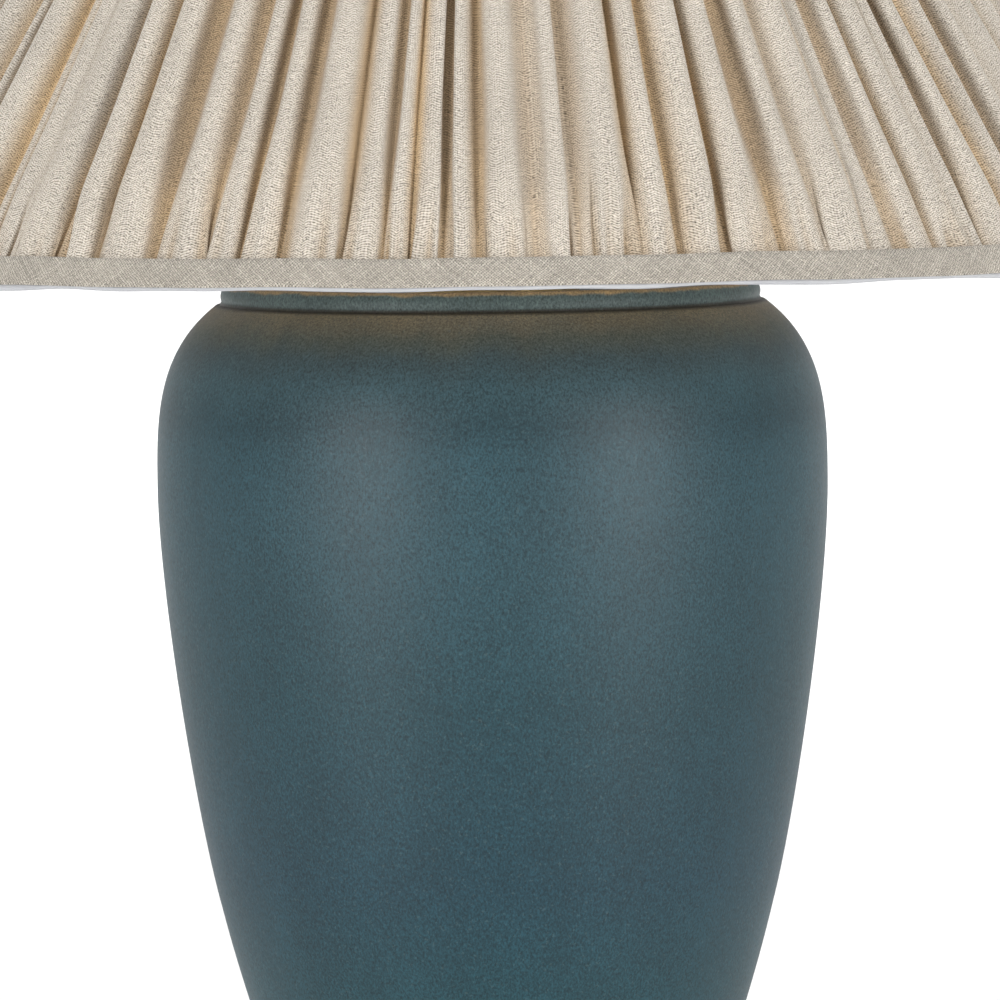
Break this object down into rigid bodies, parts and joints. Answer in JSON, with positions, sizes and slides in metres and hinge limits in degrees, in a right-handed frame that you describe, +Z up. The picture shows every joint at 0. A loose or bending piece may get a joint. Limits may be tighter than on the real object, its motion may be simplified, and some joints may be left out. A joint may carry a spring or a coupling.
{
  "type": "table lamp",
  "caption": "Table lamp: a glazed ceramic vase base with brass fittings, a wire harp and a wide tapered shade of gathered fabric.",
  "frame": {"origin": "on the table, at the centre of the foot's underside, on the lamp's axis", "axes": "+Z up along the lamp's axis; -Y is the front, where the switch is; +Y is the back, where the cord leaves"},
  "size_m": [0.4974, 0.4974, 0.6146],
  "materials": {
    "glaze": "satin",
    "felt": "matte",
    "rubber": "matte",
    "steel": "satin",
    "brass": "satin",
    "contact_brass": "bright",
    "fibre": "matte",
    "phenolic": "gloss",
    "cap_metal": "satin",
    "clear_glass": "gloss",
    "filament": "matte",
    "frame_wire": "satin",
    "lining": "matte",
    "linen": "matte",
    "binding": "matte"
  },
  "bodies": {
    "base": {"ceramic_body": "glaze", "felt_pad": "felt", "cord_grommet": "rubber", "clamp_plate": "steel", "lock_washer": "steel", "pipe_nut": "brass", "lamp_pipe": "steel", "deck_bush": "rubber", "vase_cap": "brass", "neck_spacer": "brass", "stack_nut": "brass", "harp_saddle": "brass", "socket_cap": "brass", "cap_set_screw": "steel", "socket_shell": "brass", "socket_liner": "fibre", "socket_interior": "phenolic", "terminal_screws": "contact_brass", "screw_shell": "contact_brass", "centre_contact": "contact_brass", "harp_bow": "brass", "harp_stud": "brass"},
    "ferrule_left": {"harp_ferrule_left": "brass"},
    "ferrule_right": {"harp_ferrule_right": "brass"},
    "switch": {"switch_shaft": "contact_brass", "switch_knob": "phenolic"},
    "bulb": {"bulb_contact": "cap_metal", "bulb_insulator": "phenolic", "bulb_cap": "cap_metal", "bulb_glass": "clear_glass", "bulb_stem": "clear_glass", "led_filaments": "filament"},
    "seat": {"seat_washer": "rubber"},
    "shade": {"spider_plate": "brass", "spider_arms": "brass", "top_ring": "frame_wire", "bottom_ring": "frame_wire", "shade_struts": "frame_wire", "shade_lining": "lining", "shade_cover": "linen", "bottom_binding": "binding", "top_binding": "binding"},
    "finial": {"finial": "brass"}
  },
  "joints": [
    {"name": "ferrule_left_slide", "type": "slide", "parent": "base", "child": "ferrule_left", "axis": [0, 0, 1], "range_m": [0, 0.014]},
    {"name": "ferrule_right_slide", "type": "slide", "parent": "base", "child": "ferrule_right", "axis": [0, 0, 1], "range_m": [0, 0.014]},
    {"name": "switch_turn", "type": "hinge", "parent": "base", "child": "switch", "pos_m": [0, -0.02, 0.394], "axis": [0, -1, 0], "continuous": true},
    {"name": "bulb_unscrew", "type": "hinge", "parent": "base", "child": "bulb", "pos_m": [0, 0, 0.42], "axis": [0, 0, 1], "range_deg": [0, 1440]},
    {"name": "shade_lift", "type": "slide", "parent": "base", "child": "seat", "axis": [0, 0, 1], "range_m": [0, 0.24]},
    {"name": "shade_turn", "type": "hinge", "parent": "seat", "child": "shade", "pos_m": [0, 0, 0.5818], "axis": [0, 0, 1], "continuous": true},
    {"name": "finial_unscrew", "type": "hinge", "parent": "shade", "child": "finial", "pos_m": [0, 0, 0.5826], "axis": [0, 0, 1], "range_deg": [0, 3600]}
  ]
}
